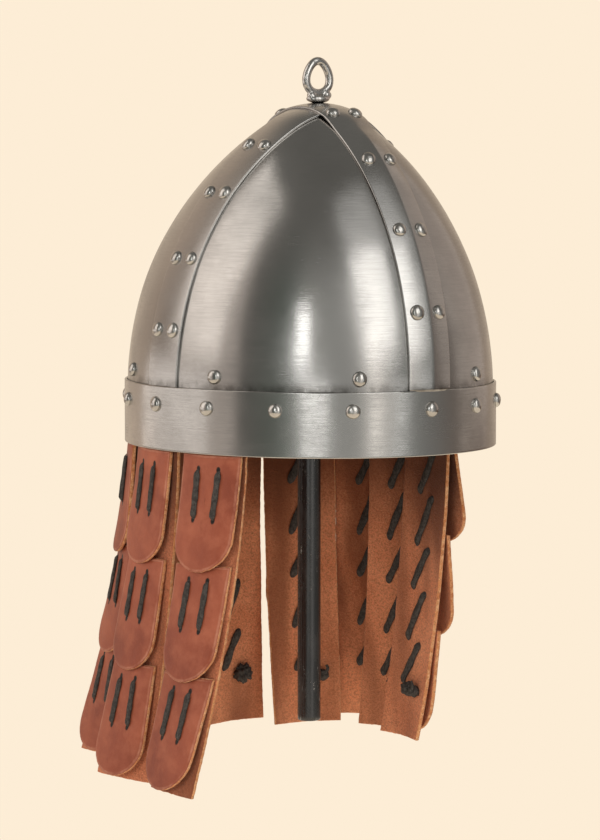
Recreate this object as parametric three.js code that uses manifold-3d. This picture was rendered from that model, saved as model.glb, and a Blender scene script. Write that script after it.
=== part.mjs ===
// Spangenhelm helmet with a leather lamellar curtain, held up on a plain display post.
// Millimetres, +Z up. The origin is the centre of the rim plane (the brow band's lower edge).
// The face looks along -Y, so the wearer's right is -X. A plan angle of 0 degrees is the front,
// 90 the wearer's right, 180 the back and 270 the wearer's left.
import * as THREE from 'three';
import { mergeVertices } from 'three/addons/utils/BufferGeometryUtils.js';
import Module from 'manifold-3d';

const wasm = await Module();
wasm.setup();

// ---- Driving dimensions -------------------------------------------------------------------
const GAP = 0.3;
const STRAP_GAP = 0.55;
const STEEL = 1.5;

// Brow band
const BROW_X = 104;
const BROW_Y = 116.6;
const BROW_HEIGHT = 36.5;
const BROW_RIVETS = 16;
const BROW_RIVET_Z = 26;
const BROW_RIVET_SHIFT = 4.2;
const BROW_STEPS = 3600;
const BROW_CURVE_SEGMENTS = 32;

// Dome: an ogive arc over an elliptical plan, with a rounded crown and a slight forward lean
const DOME_X = 102.2;
const DOME_Y = 114.6;
const DOME_SPRING_Z = 34;
const ARC_RADIUS = 186;
const ARC_HALF_WIDTH = 107;
const CROWN_HALF_WIDTH = 30;
const CROWN_LEAN = 8.6;
const LEAN_POWER = 2.5;
const MERIDIAN_STEPS = 400;
const SLOPE_STEP = 0.05;
const SEARCH_ROUNDS = 12;

// Plates
const PLATE_BOTTOM_Z = 12;
const PLATE_TOP_RADIUS = 8;
const PLATE_RIVET_Z = 43.5;
const SEAM = 0.4;
const PLATE_DIVISIONS = 12;

// Straps
const STRAP_HALF_WIDTH = 14.4;
const STRAP_BOTTOM_Z = BROW_HEIGHT + GAP;
const SIDE_STRAP_END = 3;
const LONG_STRAP_BOW = 2.2;
const SIDE_STRAP_LEAN = 8;
const SIDE_LEAN_POWER = 5;
const KEEL_HEIGHT = 2.4;
const KEEL_FADE_START = 55;
const KEEL_FADE_END = 18;
const LAP_FLAT = 24;
const LAP_RAMP = 15;
const RIVET_PAIR_HALF = 7.5;
const STRAP_COLUMNS = 6;
const LONG_STRAP_ROWS = 36;
const SIDE_STRAP_ROWS = 16;
const FRONT_RIVET_HEIGHTS = [79, 124, 163, 189];
const SIDE_RIVET_HEIGHTS = [68, 108, 145, 172];

// Rivet heads
const RIVET_RADIUS = 4.2;
const RIVET_HEIGHT = 2.7;
const RIVET_ROOT = 0.8;
const RIVET_SIDES = 8;

// Ring on the crown
const RING_WIDTH = 21.5;
const RING_TALL = 23;
const RING_WIRE = 2.5;
const RING_FOOT_RADIUS = 8;
const RING_FOOT_HEIGHT = 4;
const RING_FOOT_RIM = 1;
const RING_FOOT_WAIST = 0.6;
const RING_FOOT_NECK = 0.3;

// Leather curtain
const LEATHER = 2.8;
const STRIP_TOP_Z = 30;
const STRIP_X = 98.6;
const STRIP_Y = 111;
const SWAY_POWER = 1.5;
const SCALE_WIDTH = 42;
const SCALE_LENGTH = 66;
const TOP_TIP_Z = -66;
const TIP_ABOVE_HEM = 3;
const NO_FLARE = [0, 0, 0];
const SCALE_LIFT = 4.2;
const SCALE_GAP = 0.5;

// Each strip hangs from its place inside the brow band to its place at the hem. angle is the
// plan angle, inset how far inside the curtain's ellipse (outside it when negative), and turn
// how far the strip's outer face is turned from the ellipse's own direction. flare is how much
// further than usual the tips of its three scales stand off at the edge towards the front.
const STRIPS = [
  { name: 'right_front', top: [70.3, 0, 0], hem: [83, -12, 7], width: 43, bottom: -194 },
  { name: 'right_middle', top: [97.6, 0, 0], hem: [108.5, -15, -25], width: 46, bottom: -194 },
  { name: 'right_rear', top: [126.5, 0, -2], hem: [134, -22, -48], width: 45, bottom: -190 },
  { name: 'back_right', top: [158, 0, 0], hem: [164, -18, -8], width: 45, bottom: -187 },
  { name: 'back_middle', top: [188.9, 0, 0], hem: [194.4, -18, -20], width: 45, bottom: -187 },
  { name: 'back_left', top: [215.5, 0, 0], hem: [217.5, -9, -26], width: 45, bottom: -187 },
  { name: 'left_rear', top: [239.9, 0, 0], hem: [231.5, -46, -4], width: 43, bottom: -187 },
  { name: 'left_middle', top: [256.3, 8.5, -8], hem: [244.8, -9.5, 8], width: 43, bottom: -187 },
  { name: 'left_front', top: [276, 15, -7], hem: [257.6, 9, 15], width: 41, bottom: -187, flare: [12, 9, 0] },
];

// Display post
const POST_RADIUS = 6.75;
const POST_BOTTOM_Z = -165;
const POST_TOP_Z = 186;

// ---- Materials ----------------------------------------------------------------------------
const steel = (color, roughness) =>
  new THREE.MeshStandardMaterial({ color, roughness, metalness: 1 });
const leather = (color) =>
  new THREE.MeshStandardMaterial({ color, roughness: 0.7, metalness: 0 });
const paint = () =>
  new THREE.MeshStandardMaterial({ color: 0x141312, roughness: 0.4, metalness: 0 });

// ---- Small helpers ------------------------------------------------------------------------
const radians = (degrees) => THREE.MathUtils.degToRad(degrees);
const mix = THREE.MathUtils.lerp;
const smooth = THREE.MathUtils.smoothstep;

function closed(geometry) {
  const bare = geometry.clone();
  bare.deleteAttribute('normal');
  bare.deleteAttribute('uv');
  return mergeVertices(bare, 1e-4);
}

function toSolid(geometry) {
  const merged = closed(geometry);
  return new wasm.Manifold(new wasm.Mesh({
    numProp: 3,
    vertProperties: new Float32Array(merged.attributes.position.array),
    triVerts: new Uint32Array(merged.index.array),
  }));
}

function toGeometry(solid) {
  const mesh = solid.getMesh();
  const geometry = new THREE.BufferGeometry();
  geometry.setAttribute('position', new THREE.BufferAttribute(mesh.vertProperties, 3));
  geometry.setIndex(new THREE.BufferAttribute(mesh.triVerts, 1));
  return geometry;
}

function joined(geometries) {
  const solids = geometries.map(toSolid);
  return toGeometry(solids.reduce((whole, next) => whole.add(next)));
}

// A sheet is a finely divided box whose points are moved onto a curved surface. The place
// function gets the point's share of the width (-1 to 1), its share of the length (0 at the
// bottom, 1 at the top) and its side (0 the inner face, 1 the outer face).
function bentSheet(columns, rows, place) {
  const box = new THREE.BoxGeometry(2, 1, 1, columns, rows, 1);
  const points = box.attributes.position;
  for (let i = 0; i < points.count; i += 1) {
    const side = points.getZ(i) > 0 ? 1 : 0;
    const placed = place(points.getX(i), points.getY(i) + 0.5, side);
    points.setXYZ(i, placed.x, placed.y, placed.z);
  }
  return facingOut(closed(box));
}

// Turns a closed surface right side out when its volume comes out negative.
function facingOut(geometry) {
  const points = geometry.attributes.position;
  const index = geometry.index.array;
  const corner = (i) => new THREE.Vector3().fromBufferAttribute(points, index[i]);
  let volume = 0;
  for (let i = 0; i < index.length; i += 3) {
    volume += corner(i).dot(corner(i + 1).cross(corner(i + 2)));
  }
  if (volume < 0) index.reverse();
  return geometry;
}

// ---- Dome surface -------------------------------------------------------------------------
const ARC_CENTRE = ARC_RADIUS - ARC_HALF_WIDTH;
const CROWN_REACH = ARC_CENTRE + CROWN_HALF_WIDTH;
const CROWN_START = Math.sqrt(ARC_RADIUS ** 2 - CROWN_REACH ** 2);
const CROWN_TILT = Math.atan2(CROWN_REACH, CROWN_START);
const CROWN_RADIUS = CROWN_HALF_WIDTH / Math.sin(CROWN_TILT);
const CROWN_CENTRE = CROWN_START - CROWN_RADIUS * Math.cos(CROWN_TILT);
const DOME_TOP_Z = DOME_SPRING_Z + CROWN_CENTRE + CROWN_RADIUS;

// The square of the dome's width at a height, as a share of its width at the brow. It goes
// below zero above the top, which keeps the surface search smooth there.
function shareSquared(z) {
  const rise = z - DOME_SPRING_Z;
  if (rise <= 0) return 1;
  if (rise < CROWN_START) {
    const half = Math.sqrt(ARC_RADIUS ** 2 - rise ** 2) - ARC_CENTRE;
    return (half / ARC_HALF_WIDTH) ** 2;
  }
  return (CROWN_RADIUS ** 2 - (rise - CROWN_CENTRE) ** 2) / ARC_HALF_WIDTH ** 2;
}

const riseShare = (z) => Math.max(0, (z - DOME_SPRING_Z) / (DOME_TOP_Z - DOME_SPRING_Z));
const lean = (z) => CROWN_LEAN * riseShare(z) ** LEAN_POWER;

function domeValue(p) {
  return (p.x / DOME_X) ** 2 + ((p.y + lean(p.z)) / DOME_Y) ** 2 - shareSquared(p.z);
}

function domeGradient(p) {
  const slope = (axis) => {
    const ahead = p.clone();
    const behind = p.clone();
    ahead[axis] += SLOPE_STEP;
    behind[axis] -= SLOPE_STEP;
    return (domeValue(ahead) - domeValue(behind)) / (2 * SLOPE_STEP);
  };
  return new THREE.Vector3(slope('x'), slope('y'), slope('z'));
}

// Moves a nearby point onto the dome, then out along the dome's own direction.
function onDome(start, offset) {
  const p = start.clone();
  for (let round = 0; round < SEARCH_ROUNDS; round += 1) {
    const gradient = domeGradient(p);
    p.addScaledVector(gradient, -domeValue(p) / gradient.lengthSq());
  }
  return p.addScaledVector(domeGradient(p).normalize(), offset);
}

// The dome's meridian from the brow to the crown, so that heights can be spaced evenly along
// the sheet instead of up the Z axis.
const meridian = [];
for (let i = 0; i <= MERIDIAN_STEPS; i += 1) {
  const angle = (i / MERIDIAN_STEPS) * Math.PI / 2;
  const z = DOME_SPRING_Z + (DOME_TOP_Z - DOME_SPRING_Z) * Math.sin(angle);
  const share = Math.sqrt(Math.max(0, shareSquared(z)));
  const last = meridian[meridian.length - 1];
  const run = last ? last.run + Math.hypot(z - last.z, (share - last.share) * DOME_X) : 0;
  meridian.push({ z, share, run });
}
const MERIDIAN_LENGTH = meridian[meridian.length - 1].run;

// The height and width share a given sheet length down from the crown. Below the spring line
// the dome's wall is upright.
function downFromCrown(length) {
  const run = MERIDIAN_LENGTH - length;
  if (run <= 0) return { z: DOME_SPRING_Z + run, share: 1 };
  const i = Math.min(meridian.findIndex((m) => m.run >= run), meridian.length - 1);
  const [low, high] = [meridian[Math.max(0, i - 1)], meridian[i]];
  const t = high.run > low.run ? (run - low.run) / (high.run - low.run) : 0;
  return { z: mix(low.z, high.z, t), share: mix(low.share, high.share, t) };
}

function domePoint(degrees, length, offset) {
  const { z, share } = downFromCrown(length);
  const x = -DOME_X * share * Math.sin(radians(degrees));
  const y = -DOME_Y * share * Math.cos(radians(degrees)) - lean(z);
  return onDome(new THREE.Vector3(x, y, z), offset);
}

const lengthAtHeight = (height) => {
  if (height <= DOME_SPRING_Z) return MERIDIAN_LENGTH + DOME_SPRING_Z - height;
  return MERIDIAN_LENGTH - meridian.find((m) => m.z >= height).run;
};

// ---- Rivet heads --------------------------------------------------------------------------
function rivetHead(point, outward) {
  const profile = [new THREE.Vector2(0, -RIVET_ROOT), new THREE.Vector2(RIVET_RADIUS, -RIVET_ROOT)];
  for (const rise of [15, 52]) {
    const x = RIVET_RADIUS * Math.cos(radians(rise));
    profile.push(new THREE.Vector2(x, RIVET_HEIGHT * Math.sin(radians(rise))));
  }
  profile.push(new THREE.Vector2(0, RIVET_HEIGHT));
  const head = new THREE.LatheGeometry(profile, RIVET_SIDES);
  const up = new THREE.Vector3(0, 1, 0);
  head.applyQuaternion(new THREE.Quaternion().setFromUnitVectors(up, outward));
  return head.translate(point.x, point.y, point.z);
}

// ---- Brow band ----------------------------------------------------------------------------
// Plan angles that divide the brow's outline into equal lengths, starting at the front. Every
// one but the first is moved along by the same length.
function browAngles(count, moved) {
  const runs = [0];
  for (let i = 1; i <= BROW_STEPS; i += 1) {
    const angle = (i - 0.5) / BROW_STEPS * 2 * Math.PI;
    const speed = Math.hypot(BROW_X * Math.cos(angle), BROW_Y * Math.sin(angle));
    runs.push(runs[i - 1] + speed * (2 * Math.PI / BROW_STEPS));
  }
  const share = (run) => runs.findIndex((reached) => reached >= run) / BROW_STEPS;
  const spacing = runs[BROW_STEPS] / count;
  return Array.from({ length: count }, (_, k) => {
    const shift = k === 0 ? 0 : moved;
    return share(k * spacing + shift) * 360;
  });
}
const PLATE_RIVET_ANGLES = browAngles(BROW_RIVETS, 0);
const BROW_RIVET_ANGLES = browAngles(BROW_RIVETS, BROW_RIVET_SHIFT);

function browBand() {
  const outline = new THREE.Shape();
  outline.absellipse(0, 0, BROW_X, BROW_Y, 0, 2 * Math.PI);
  const hole = new THREE.Path();
  hole.absellipse(0, 0, BROW_X - STEEL, BROW_Y - STEEL, 0, 2 * Math.PI);
  outline.holes.push(hole);
  const band = new THREE.ExtrudeGeometry(
    outline, { depth: BROW_HEIGHT, curveSegments: BROW_CURVE_SEGMENTS, bevelEnabled: false });
  const heads = BROW_RIVET_ANGLES.map((degrees) => {
    const [s, c] = [Math.sin(radians(degrees)), Math.cos(radians(degrees))];
    const point = new THREE.Vector3(-BROW_X * s, -BROW_Y * c, BROW_RIVET_Z);
    const outward = new THREE.Vector3(-s / BROW_X, -c / BROW_Y, 0).normalize();
    return rivetHead(point, outward);
  });
  return joined([band, ...heads]);
}

// ---- Plates -------------------------------------------------------------------------------
// A plate fills the quarter between two seams that lie under the straps, and its lower edge is
// inside the brow band.
function plate(startAngle) {
  const topLength = PLATE_TOP_RADIUS;
  const bottomLength = lengthAtHeight(PLATE_BOTTOM_Z);
  const place = (across, along, side) => {
    const length = mix(bottomLength, topLength, along);
    const { share } = downFromCrown(length);
    const trim = THREE.MathUtils.radToDeg(Math.asin(SEAM / (share * DOME_X)));
    const angle = mix(startAngle + 90 - trim, startAngle + trim, (1 + across) / 2);
    return domePoint(angle, length, (side - 1) * STEEL);
  };
  const sheet = bentSheet(PLATE_DIVISIONS, PLATE_DIVISIONS, place);
  const rivetLength = lengthAtHeight(PLATE_RIVET_Z);
  const heads = [1, 3].map((step) => {
    const angle = PLATE_RIVET_ANGLES[startAngle / 90 * BROW_RIVETS / 4 + step];
    const point = domePoint(angle, rivetLength, 0);
    return rivetHead(point, domePoint(angle, rivetLength, 1).sub(point));
  });
  return joined([sheet, ...heads]);
}

// ---- Straps -------------------------------------------------------------------------------
// A point on a strap. sign is -1 towards the front or the wearer's right and 1 towards the
// back or the left, length is measured down from the crown, and side is the distance from the
// strap's centreline. The long strap bows a little to the wearer's left between the crown and
// the brow, and the side straps lean forward near the crown.
function strapPoint(lengthwise, sign, length, side, offset) {
  const { z, share } = downFromCrown(length);
  if (lengthwise === 'y') {
    const bow = LONG_STRAP_BOW * Math.sin(Math.PI * Math.min(1, length / MERIDIAN_LENGTH));
    return onDome(new THREE.Vector3(side + bow, sign * DOME_Y * share - lean(z), z), offset);
  }
  const forward = lean(z) + SIDE_STRAP_LEAN * riseShare(z) ** SIDE_LEAN_POWER;
  return onDome(new THREE.Vector3(sign * DOME_X * share, side - forward, z), offset);
}

// The long strap stands clear of the side straps where it crosses over them, and is folded to
// a keel down its centreline that fades out towards the crown.
function longStrapOffset(length, side) {
  const lap = (STEEL + STRAP_GAP) * (1 - smooth(length, LAP_FLAT, LAP_FLAT + LAP_RAMP));
  const keel = KEEL_HEIGHT * smooth(length, KEEL_FADE_END, KEEL_FADE_START);
  return STRAP_GAP + lap + keel * (1 - Math.abs(side) / STRAP_HALF_WIDTH);
}

function strapRivets(lengthwise, sign, heights, offsetAt) {
  return heights.flatMap((height) => [-1, 1].map((pair) => {
    const length = lengthAtHeight(height);
    const side = pair * RIVET_PAIR_HALF;
    const surface = offsetAt(length, side) + STEEL;
    const point = strapPoint(lengthwise, sign, length, side, surface);
    const outward = strapPoint(lengthwise, sign, length, side, surface + 1).sub(point);
    return rivetHead(point, outward.normalize());
  }));
}

function longStrap() {
  const reach = lengthAtHeight(STRAP_BOTTOM_Z);
  const sheet = bentSheet(STRAP_COLUMNS, LONG_STRAP_ROWS, (across, along, side) => {
    const signed = mix(-reach, reach, along);
    const length = Math.abs(signed);
    const offCentre = across * STRAP_HALF_WIDTH;
    const offset = longStrapOffset(length, offCentre) + side * STEEL;
    return strapPoint('y', Math.sign(signed) || 1, length, -offCentre, offset);
  });
  const heads = [-1, 1].flatMap(
    (sign) => strapRivets('y', sign, FRONT_RIVET_HEIGHTS, longStrapOffset));
  return joined([sheet, ...heads]);
}

function sideStrap(sign) {
  const reach = lengthAtHeight(STRAP_BOTTOM_Z);
  const sheet = bentSheet(STRAP_COLUMNS, SIDE_STRAP_ROWS, (across, along, side) => {
    const length = mix(reach, SIDE_STRAP_END, along);
    const offCentre = sign * across * STRAP_HALF_WIDTH;
    return strapPoint('x', sign, length, offCentre, STRAP_GAP + side * STEEL);
  });
  return joined([sheet, ...strapRivets('x', sign, SIDE_RIVET_HEIGHTS, () => STRAP_GAP)]);
}

// ---- Ring on the crown --------------------------------------------------------------------
function topRing() {
  const foot = strapPoint('y', 1, 0, 0, longStrapOffset(0, 0) + STEEL + GAP);
  const middle = RING_WIDTH / 2 - RING_WIRE;
  const ring = new THREE.TorusGeometry(middle, RING_WIRE, 8, 24);
  ring.scale(1, RING_TALL / RING_WIDTH, 1);
  ring.rotateX(Math.PI / 2);
  ring.translate(foot.x, foot.y, foot.z + RING_FOOT_RIM + RING_TALL / 2);
  const profile = [
    new THREE.Vector2(0, 0),
    new THREE.Vector2(RING_FOOT_RADIUS, 0),
    new THREE.Vector2(RING_FOOT_RADIUS, RING_FOOT_RIM),
    new THREE.Vector2(RING_FOOT_RADIUS * RING_FOOT_WAIST, RING_FOOT_HEIGHT * RING_FOOT_WAIST),
    new THREE.Vector2(RING_FOOT_RADIUS * RING_FOOT_NECK, RING_FOOT_HEIGHT),
    new THREE.Vector2(0, RING_FOOT_HEIGHT),
  ];
  const base = new THREE.LatheGeometry(profile, 16);
  base.rotateX(Math.PI / 2);
  base.translate(foot.x, foot.y, foot.z);
  return joined([ring, base]);
}

// ---- Leather curtain ----------------------------------------------------------------------
// The frame of a strip at a height: the middle of its outer face and the way that face looks.
function stripFrame(strip, z) {
  const drop = Math.max(0, z / strip.bottom) ** SWAY_POWER;
  const [angle, inset, turn] = strip.top.map((value, i) => mix(value, strip.hem[i], drop));
  const [s, c] = [Math.sin(radians(angle)), Math.cos(radians(angle))];
  const heading = Math.atan2(s / STRIP_X, c / STRIP_Y) + radians(turn);
  const outward = new THREE.Vector3(-Math.sin(heading), -Math.cos(heading), 0);
  const bare = Math.atan2(s / STRIP_X, c / STRIP_Y);
  const middle = new THREE.Vector3(-STRIP_X * s, -STRIP_Y * c, z);
  middle.addScaledVector(new THREE.Vector3(-Math.sin(bare), -Math.cos(bare), 0), -inset);
  return { middle, outward };
}

// A point at a distance to one side of the strip's middle. The strip is bowed across its width
// to the curtain's own roundness.
function stripPoint(strip, z, side, offset) {
  const { middle, outward } = stripFrame(strip, z);
  const bow = (STRIP_X + STRIP_Y) / 2;
  const turned = side / bow;
  const along = new THREE.Vector3(outward.y, -outward.x, 0);
  const radius = bow + offset;
  return middle.clone()
    .addScaledVector(outward, radius * Math.cos(turned) - bow)
    .addScaledVector(along, -radius * Math.sin(turned));
}

const BACKING_ROWS_BELOW_RIM = 6;
const LEATHER_COLUMNS = 3;

function backing(strip) {
  const rows = BACKING_ROWS_BELOW_RIM + 1;
  return bentSheet(LEATHER_COLUMNS, rows, (across, along, side) => {
    const row = Math.round(along * rows);
    const z = row === rows ? STRIP_TOP_Z : strip.bottom * (1 - row / BACKING_ROWS_BELOW_RIM);
    return stripPoint(strip, z, across * strip.width / 2, (side - 1) * LEATHER);
  });
}

// A scale is straight at its sides and round at its lower end. It lies on the strip at its
// upper edge and stands off at its tip, over the upper edge of the scale below.
const SCALE_ROUND_ROWS = [76, 52, 26, 0];
const SCALE_STRAIGHT_ROWS = 2;

function scale(strip, order) {
  const lowestTip = strip.bottom + TIP_ABOVE_HEM;
  const tip = mix(TOP_TIP_Z, lowestTip, order / 2);
  const flare = (strip.flare ?? NO_FLARE)[order];
  const radius = SCALE_WIDTH / 2;
  const rowCount = SCALE_ROUND_ROWS.length + SCALE_STRAIGHT_ROWS - 1;
  return bentSheet(LEATHER_COLUMNS, rowCount, (across, along, side) => {
    const row = Math.round(along * rowCount);
    const round = Math.min(row, SCALE_ROUND_ROWS.length - 1);
    const angle = radians(SCALE_ROUND_ROWS[round]);
    const straight = (row - round) / SCALE_STRAIGHT_ROWS * (SCALE_LENGTH - radius);
    const up = radius * (1 - Math.sin(angle)) + straight;
    const fromMiddle = across * radius * Math.cos(angle);
    const flared = flare * ((1 - fromMiddle / radius) / 2) ** 2;
    const lift = SCALE_GAP + (SCALE_LIFT + flared) * (1 - up / SCALE_LENGTH);
    return stripPoint(strip, tip + up, fromMiddle, lift + side * LEATHER);
  });
}

// ---- Display post -------------------------------------------------------------------------
function displayPost() {
  const post = new THREE.CylinderGeometry(
    POST_RADIUS, POST_RADIUS, POST_TOP_Z - POST_BOTTOM_Z, 24);
  post.rotateX(Math.PI / 2);
  return post.translate(0, 0, (POST_TOP_Z + POST_BOTTOM_Z) / 2);
}

// ---- Assembly -----------------------------------------------------------------------------
const group = new THREE.Group();

function addPart(name, geometry, material) {
  const mesh = new THREE.Mesh(geometry, material);
  mesh.name = name;
  group.add(mesh);
}

addPart('brow_band', browBand(), steel(0x8d8b86, 0.34));
addPart('crown_strap_front_back', longStrap(), steel(0x9a9894, 0.32));
addPart('side_strap_right', sideStrap(-1), steel(0x8b8984, 0.36));
addPart('side_strap_left', sideStrap(1), steel(0x8b8984, 0.36));

const PLATE_NAMES = ['front_right', 'back_right', 'back_left', 'front_left'];
PLATE_NAMES.forEach((name, quarter) => {
  addPart(`plate_${name}`, plate(quarter * 90), steel(0x84827d, 0.38));
});

addPart('top_ring', topRing(), steel(0xb4b1aa, 0.22));

for (const strip of STRIPS) {
  addPart(`backing_${strip.name}`, backing(strip), leather(0xb06c48));
  for (const order of [0, 1, 2]) {
    addPart(`scale_${strip.name}_${order + 1}`, scale(strip, order), leather(0x96513d));
  }
}

addPart('stand_post', displayPost(), paint());

export default group;
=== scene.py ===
"""The looks of a riveted steel helmet with a leather lamellar curtain on a display post.

Model sizes are in millimetres until a mesh is made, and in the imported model's own frame:
+Z up, the face looking along -Y, the wearer's right at -X, the rim plane at z = 0.
Plan angles run from the front (0) by the wearer's right (90) to the back (180).
"""

import math
from collections import namedtuple

import bmesh
import bpy
import numpy as np
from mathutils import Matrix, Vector, noise


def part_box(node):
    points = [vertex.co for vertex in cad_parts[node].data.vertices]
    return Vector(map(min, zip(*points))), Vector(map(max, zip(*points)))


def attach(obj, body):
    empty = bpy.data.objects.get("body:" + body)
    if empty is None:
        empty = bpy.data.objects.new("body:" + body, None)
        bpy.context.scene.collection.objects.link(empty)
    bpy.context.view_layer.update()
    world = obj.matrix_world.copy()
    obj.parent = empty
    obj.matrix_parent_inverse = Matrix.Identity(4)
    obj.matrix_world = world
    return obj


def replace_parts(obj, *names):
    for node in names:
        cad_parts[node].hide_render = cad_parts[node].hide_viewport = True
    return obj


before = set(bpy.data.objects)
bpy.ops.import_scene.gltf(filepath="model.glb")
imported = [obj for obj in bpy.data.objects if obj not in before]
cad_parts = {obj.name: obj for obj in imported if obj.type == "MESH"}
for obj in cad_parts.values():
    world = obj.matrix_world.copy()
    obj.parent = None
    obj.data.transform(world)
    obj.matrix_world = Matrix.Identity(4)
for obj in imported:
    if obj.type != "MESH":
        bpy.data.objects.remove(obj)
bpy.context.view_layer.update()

MM = 0.001


def box_mm(node):
    low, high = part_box(node)
    return np.array(low) / MM, np.array(high) / MM


# ---- Driving dimensions, read from the frame where a node's box gives them ----
PLATE_LOW, _ = box_mm("plate_front_right")
_, BROW_HIGH = box_mm("brow_band")
_, STRIP_HIGH = box_mm("backing_back_middle")
POST_LOW, POST_HIGH = box_mm("stand_post")
RING_LOW, RING_HIGH = box_mm("top_ring")

STEEL = 1.5
STRAP_GAP = -0.25
BROW_X, BROW_Y = 104.0, 116.6
BROW_HEIGHT = BROW_HIGH[2]
BROW_RIVETS = 16
BROW_RIVET_Z = 26.0
BROW_RIVET_SHIFT = 4.2

DOME_X, DOME_Y = -PLATE_LOW[0], -PLATE_LOW[1]
DOME_SPRING_Z = 34.0
ARC_RADIUS = 186.0
ARC_HALF_WIDTH = 107.0
CROWN_HALF_WIDTH = 30.0
CROWN_LEAN = 8.6
LEAN_POWER = 2.5

PLATE_BOTTOM_Z = PLATE_LOW[2]
PLATE_TOP_RADIUS = 8.0
PLATE_RIVET_Z = 43.5
SEAM = 0.4

STRAP_HALF_WIDTH = 14.4
LONG_STRAP_BOW = 2.2
SIDE_STRAP_LEAN = 8.0
SIDE_LEAN_POWER = 5
STRAP_BOTTOM_Z = BROW_HEIGHT - 0.6
SIDE_STRAP_END = 3.0
KEEL_HEIGHT = 2.4
KEEL_FADE = (18.0, 55.0)
KEEL_BLUNTNESS = 0.03
LAP_RAMP = (24.0, 39.0)
RIVET_PAIR_HALF = 7.5
FRONT_RIVET_HEIGHTS = (79, 124, 163, 189)
SIDE_RIVET_HEIGHTS = (68, 108, 145, 172)
RIVET_RADIUS = 4.2
RIVET_HEIGHT = 2.9

LEATHER = 2.8
STRIP_X, STRIP_Y = 98.6, 111.0
STRIP_TOP_Z = STRIP_HIGH[2]
SWAY_POWER = 1.5
SCALE_WIDTH = 40.0
SCALE_LENGTH = 66.0
TOP_TIP_Z = -66.0
TIP_ABOVE_HEM = 3.0
SCALE_LIFT = 4.2
SCALE_GAP = 0.5

# Each strip: plan angle, inset from the curtain's ellipse and turn of its face, at the rim
# and at the hem, its width, its lower end, and how much further than usual its scales' tips
# stand off at the edge towards the front.
Strip = namedtuple("Strip", "rim hem width bottom flare", defaults=[(0, 0, 0)])
STRIPS = {
    "right_front": Strip((70.3, 0, 0), (83, -12, 7), 43, -194),
    "right_middle": Strip((97.6, 0, 0), (108.5, -15, -25), 46, -194),
    "right_rear": Strip((126.5, 0, -2), (134, -22, -48), 45, -190),
    "back_right": Strip((158, 0, 0), (164, -18, -8), 45, -187),
    "back_middle": Strip((188.9, 0, 0), (194.4, -18, -20), 45, -187),
    "back_left": Strip((215.5, 0, 0), (217.5, -9, -26), 45, -187),
    "left_rear": Strip((239.6, 0, 0), (231.5, -46, -4), 43, -187),
    "left_middle": Strip((256.3, 8.5, -8), (244.8, -9.5, 8), 43, -187),
    "left_front": Strip((276, 15, -7), (257.6, 9, 15), 41, -187, (9, 7, 0)),
}


# ---- Meshes ----
def add_object(name, data):
    item = bpy.data.objects.new(name, data)
    bpy.context.scene.collection.objects.link(item)
    return item


def add_mesh(name, points, faces, materials, indices=None):
    """A piece of the object from points in millimetres, riding on the one body."""
    mesh = bpy.data.meshes.new(name)
    mesh.from_pydata((np.asarray(points) * MM).tolist(), [], [list(f) for f in faces])
    for material in materials:
        mesh.materials.append(material)
    if indices is not None:
        mesh.polygons.foreach_set("material_index", np.asarray(indices, np.int32))
    mesh.polygons.foreach_set("use_smooth", np.ones(len(mesh.polygons), bool))
    mesh.update()
    piece = add_object(name, mesh)
    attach(piece, "root")
    return piece


def loft_faces(rows, ring, caps=True):
    """Quads of a tube of closed rings, with its two ends closed."""
    i, j = np.meshgrid(np.arange(rows - 1), np.arange(ring), indexing="ij")
    k = (j + 1) % ring
    quads = np.stack([i * ring + j, i * ring + k, (i + 1) * ring + k, (i + 1) * ring + j], -1)
    faces = [tuple(q) for q in quads.reshape(-1, 4).tolist()]
    if caps:
        faces.append(tuple(range(ring - 1, -1, -1)))
        faces.append(tuple(range((rows - 1) * ring, rows * ring)))
    return faces


def smoothstep(x, low, high):
    t = np.clip((np.asarray(x, float) - low) / (high - low), 0, 1)
    return t * t * (3 - 2 * t)


def wobble(points, size, seed):
    """Smooth noise from -1 to 1 at each point, with features about size millimetres wide."""
    flat = np.asarray(points).reshape(-1, 3) / size + seed * 7.31
    values = [noise.noise(Vector(p)) for p in flat.tolist()]
    return np.array(values).reshape(np.asarray(points).shape[:-1])


# ---- The dome's surface ----
ARC_CENTRE = ARC_RADIUS - ARC_HALF_WIDTH
CROWN_REACH = ARC_CENTRE + CROWN_HALF_WIDTH
CROWN_START = math.sqrt(ARC_RADIUS ** 2 - CROWN_REACH ** 2)
CROWN_TILT = math.atan2(CROWN_REACH, CROWN_START)
CROWN_RADIUS = CROWN_HALF_WIDTH / math.sin(CROWN_TILT)
CROWN_CENTRE = CROWN_START - CROWN_RADIUS * math.cos(CROWN_TILT)
DOME_TOP_Z = DOME_SPRING_Z + CROWN_CENTRE + CROWN_RADIUS


def share_squared(z):
    """The square of the dome's width at a height, as a share of its width at the brow."""
    rise = np.maximum(0, z - DOME_SPRING_Z)
    arc = np.sqrt(np.maximum(ARC_RADIUS ** 2 - rise ** 2, 0)) - ARC_CENTRE
    crown = (CROWN_RADIUS ** 2 - (rise - CROWN_CENTRE) ** 2) / ARC_HALF_WIDTH ** 2
    return np.where(rise < CROWN_START, (arc / ARC_HALF_WIDTH) ** 2, crown)


def rise_share(z):
    """How far up the dome a height is, from 0 at the spring to 1 at the top."""
    return np.maximum(0, (z - DOME_SPRING_Z) / (DOME_TOP_Z - DOME_SPRING_Z))


def lean(z):
    """How far the dome's middle lies forward of the brow's at a height."""
    return CROWN_LEAN * rise_share(z) ** LEAN_POWER


def dome_value(p):
    """0 on the dome, and more outside it."""
    x, y, z = p[..., 0], p[..., 1], p[..., 2]
    return (x / DOME_X) ** 2 + ((y + lean(z)) / DOME_Y) ** 2 - share_squared(z)


SLOPE_STEP = 0.05
SEARCH_ROUNDS = 10


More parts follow.
